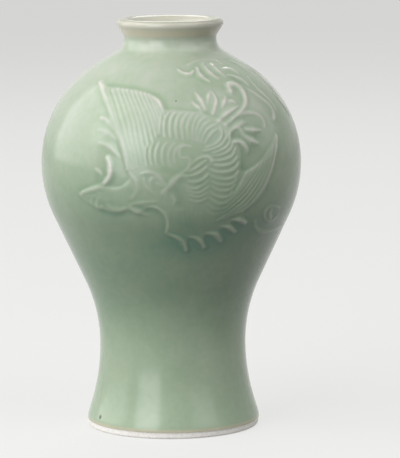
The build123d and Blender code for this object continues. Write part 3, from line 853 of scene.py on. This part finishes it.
def celadon():
    """Celadon glaze on porcelain: glossy, pale where thin on ridges, blue-green where it pools, and darker
    where painted shade is laid in.
    """
    material, tree = empty_material("celadon_glaze")
    place = add_node(tree, "ShaderNodeTexCoord").outputs["Object"]
    height = add_node(tree, "ShaderNodeSeparateXYZ", {0: place}).outputs["Z"]
    tone = add_node(tree, "ShaderNodeAttribute", attribute_name="glaze_depth_and_shade").outputs["Fac"]
    for size, strength in (cloud_grain, fleck_grain):
        grain = noise(tree, place, size, detail=3.0)
        tone = maths(tree, "ADD", tone, maths(tree, "MULTIPLY_ADD", grain, strength, -strength / 2))
    # Depth by height: painted shade deepens the under-belly, and the shoulder and the foot grow paler
    for start_at, whole_at, more in (shoulder_paling, belly_painted_shade, foot_paling):
        tone = maths(tree, "ADD", tone, fade(tree, height, start_at, whole_at, more))
    colour = ramped(tree, tone, thin_glaze, *glaze_shades, last=deep_glaze)
    # Painted light under the lip and painted shade on the crest are among these tints
    for start_at, whole_at, tint, share in tints_and_painted_shading:
        colour = tinted(tree, fade(tree, height, start_at, whole_at, share), colour, tint)
    for pixel, radius in (foot_spot, shoulder_spot):
        ends = {0: place, 1: spot_place(*pixel)}
        away = add_node(tree, "ShaderNodeVectorMath", ends, operation="DISTANCE").outputs["Value"]
        share = fade(tree, away, radius, radius * spot_core, iron_strength)
        colour = tinted(tree, share, colour, iron_colour)
    ripple = noise(tree, place, ripple_size, detail=2.0)
    surface(tree, colour, roughness=0.19, relief=ripple, strength=0.08, distance=ripple_depth)
    return material


grit_size = 0.0012
grit_depth = 0.0002


def biscuit(name, dark, colour):
    """Unglazed fired porcelain: matt, warm white, with fine grit."""
    material, tree = empty_material(name)
    place = add_node(tree, "ShaderNodeTexCoord").outputs["Object"]
    grit = noise(tree, place, grit_size, detail=4.0)
    shade = ramped(tree, grit, (0.3, dark), last=(0.6, colour))
    surface(tree, shade, roughness=0.75, relief=grit, strength=0.3, distance=grit_depth)
    return material


glaze = celadon()
porcelain = biscuit("biscuit_porcelain", dark="#E2DED6", colour="#F1EEE8")
slip = biscuit("joint_slip", dark="#C9C2B2", colour="#DCD6C8")


def coat(name, low, high, outer_rows, inner_rows, relief_row=None):
    """A closed band of the outer glaze, between two lengths of the outside line."""
    outer = outside(np.linspace(low, high, outer_rows))
    inner = outside(np.linspace(high, low, inner_rows), glaze_thickness)
    places = np.concatenate([np.stack(outer[:2], axis=1), np.stack(inner[:2], axis=1)])
    slants = np.concatenate([outer[2], inner[2] + pi])
    piece = turn(name, np.concatenate([places, places[:1]]), glaze, turn_columns)
    finish_skin(piece, slants, turn_columns, outer_rows, relief_row)
    return piece


# The lower body's glaze, from its line at the foot up to the relief
lower_spacing = 2.0
lower_rows = int(relief_low / lower_spacing) + 1
lower_glaze = coat("lower_glaze", 0, relief_low, lower_rows, inner_rows=20)

# The relief in five bands, one on another
bands = []
for number in range(band_count):
    first_row = number * band_rows
    low, high = relief_lengths[first_row], relief_lengths[first_row + band_rows]
    name = f"relief_glaze_{number + 1}"
    bands.append(coat(name, low, high, band_rows + 1, inner_rows=8, relief_row=first_row))

# The neck and the lip's glaze, up to the crest
neck_spacing = 0.5
neck_rows = int((line_lengths[-1] - relief_high) / neck_spacing) + 1
upper_glaze = coat("neck_and_lip_glaze", relief_high, line_lengths[-1], neck_rows, inner_rows=20)

# The inside's glaze: floor, rounded corner, wall, throat and the rounded way out to the crest
waist_bow = body_bows[1]
corner_height = floor_height + floor_corner_radius
corner_rise = waist_bow.centre[1] - corner_height
corner_inset = sqrt((total_wall - waist_bow.reach + floor_corner_radius) ** 2 - corner_rise**2)
corner_slant = atan2(corner_rise, corner_inset)
corner_centre = (waist_bow.centre[0] - corner_inset, corner_height)
mouth_round = crest_radius - neck_radius + total_wall
cavity_bows = [
    Bow(corner_centre, floor_corner_radius + total_wall, -pi / 2, corner_slant),
    Bow(waist_bow.centre, waist_bow.reach, corner_slant, 0),
    *body_bows[2:],
    Bow((crest_radius, overall_height - mouth_round), total_wall - mouth_round, 0, -pi / 2),
]
inner_spacing = 1.8
floor_rings = 12
# The inside has no relief, so it needs fewer columns
inner_columns = turn_columns // 4
sides = []
for depth in (total_wall, total_wall - glaze_thickness):
    places, slants = chain(cavity_bows, depth, inner_spacing)
    middle = np.linspace((0, places[0, 1]), places[0], floor_rings)[:-1]
    slants = np.concatenate([np.full(len(middle), -pi / 2), slants])
    sides.append((np.concatenate([middle, places]), slants))
section = np.concatenate([sides[0][0], sides[1][0][::-1]])
slants = np.concatenate([sides[0][1] + pi, sides[1][1][::-1]])
inner_skin = turn("inner_glaze_skin", section[::-1], glaze, inner_columns)
finish_skin(inner_skin, slants[::-1], inner_columns)
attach(inner_skin, "root")
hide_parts("inner_glaze")

sprigs = [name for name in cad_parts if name.startswith(("front_", "back_"))]
for piece in (lower_glaze, *bands, upper_glaze):
    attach(piece, "root")
    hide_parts("outer_glaze", *(sprigs if piece in bands else ()))

# The CAD nodes that no piece replaces: the glaze under the foot, the slip and the clay
for name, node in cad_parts.items():
    if name == "base_glaze":
        finish = glaze
    elif name.endswith("_slip"):
        finish = slip
    elif name.endswith(("_section", "_body")):
        finish = porcelain
    else:
        continue
    node.data.materials.clear()
    node.data.materials.append(finish)


def seen_pale(tree, hidden, seen):
    """Mixes a shader for the camera, glossy and transmitted rays with one for the light that it sends on."""
    path = add_node(tree, "ShaderNodeLightPath").outputs
    share = path["Is Camera Ray"]
    for other in ("Is Glossy Ray", "Is Transmission Ray"):
        share = maths(tree, "MAXIMUM", share, path[other])
    return add_node(tree, "ShaderNodeMixShader", {0: share, 1: hidden, 2: seen}).outputs[0]


# The floor, in metres. It's pale to look at, but sends little light on except near the foot.
floor_reach = 12
paper_colour, wall_colour = "#EDEDEB", "#F0F0EE"
paper_glow = 0.75
ring_inner, ring_outer = 0.07, 0.11
ring_light, dark_light = 0.6, 0.02


def paper():
    """Plain pale paper, even all over, that sends little light on except near the foot."""
    material, tree = empty_material("pale_paper")
    place = add_node(tree, "ShaderNodeTexCoord").outputs["Object"]
    away = add_node(tree, "ShaderNodeVectorMath", {0: place}, operation="LENGTH").outputs["Value"]
    near = fade(tree, away, ring_outer, ring_inner, ring_light, dark_light)
    matt = add_node(tree, "ShaderNodeBsdfDiffuse", {"Color": near}).outputs[0]
    pale = add_node(tree, "ShaderNodeBsdfDiffuse", {"Color": linear(paper_colour)}).outputs[0]
    glow = add_node(tree, "ShaderNodeEmission", {"Color": linear(wall_colour), "Strength": 1.0}).outputs[0]
    seen = add_node(tree, "ShaderNodeMixShader", {0: paper_glow, 1: pale, 2: glow}).outputs[0]
    add_node(tree, "ShaderNodeOutputMaterial", {"Surface": seen_pale(tree, matt, seen)})
    return material


floor_mesh = bpy.data.meshes.new("floor")
corners = [(x * floor_reach, y * floor_reach, 0) for x, y in ((-1, -1), (1, -1), (1, 1), (-1, 1))]
floor_mesh.from_pydata(corners, [], [(0, 1, 2, 3)])
floor_mesh.materials.append(paper())
floor = bpy.data.objects.new("floor", floor_mesh)
bpy.context.collection.objects.link(floor)

# The studio's even light, and the pale wall that shows behind the floor
world = bpy.data.worlds.new("studio")
bpy.context.scene.world = world
world.use_nodes = True
tree = world.node_tree
tree.nodes.clear()
even = add_node(tree, "ShaderNodeBackground", {"Color": (1, 1, 1, 1), "Strength": dark_light}).outputs[0]
wall = add_node(tree, "ShaderNodeBackground", {"Color": linear(wall_colour), "Strength": 1.0}).outputs[0]
add_node(tree, "ShaderNodeOutputWorld", {"Surface": seen_pale(tree, even, wall)})


def softbox(name, azimuth, elevation, distance, size, power, colour=(1, 1, 1)):
    """An area lamp that faces the vase's belly, in degrees from the front and up, metres and watts."""
    lamp = bpy.data.lights.new(name, "AREA")
    lamp.shape = "RECTANGLE"
    lamp.size, lamp.size_y = size
    lamp.energy = power
    lamp.color = colour
    holder = bpy.data.objects.new(name, lamp)
    bpy.context.collection.objects.link(holder)
    turn_angle, rise = radians(azimuth), radians(elevation)
    away = Vector((sin(turn_angle) * cos(rise), -cos(turn_angle) * cos(rise), sin(rise)))
    holder.location = Vector((0, 0, belly_height * MM)) + away * distance
    holder.rotation_mode = "QUATERNION"
    holder.rotation_quaternion = away.to_track_quat("Z", "Y")


softbox("key_softbox", -51, 42, 1.5, (1.6, 1.4), 13.6)
softbox("left_strip", -36, 14, 1.0, (0.6, 0.76), 4.1, (0.94, 0.95, 1))
softbox("left_panel", -98, 24, 1.6, (1.7, 1.5), 12.5)
softbox("fill_softbox", 56, 48, 1.8, (1.5, 1.3), 9.6)
softbox("right_panel", 100, 30, 1.6, (0.8, 1.1), 2.4)
softbox("right_strip", 44, 18, 1.5, (0.9, 0.7), 2.1, (0.94, 0.96, 1))
softbox("back_softbox", 180, 45, 2.2, (1.2, 1.2), 15)

# The camera stands where the photograph was taken from
camera = bpy.data.cameras.new("camera")
camera.sensor_width = sensor_width
camera.lens = focal_pixels * sensor_width / frame_height
camera_holder = bpy.data.objects.new("camera", camera)
bpy.context.collection.objects.link(camera_holder)
axes = Matrix((right, up, -ahead)).transposed().to_4x4()
camera_holder.matrix_world = Matrix.Translation(Vector(eye) * MM) @ axes
bpy.context.scene.camera = camera_holder
bpy.context.scene.view_settings.view_transform = "Standard"
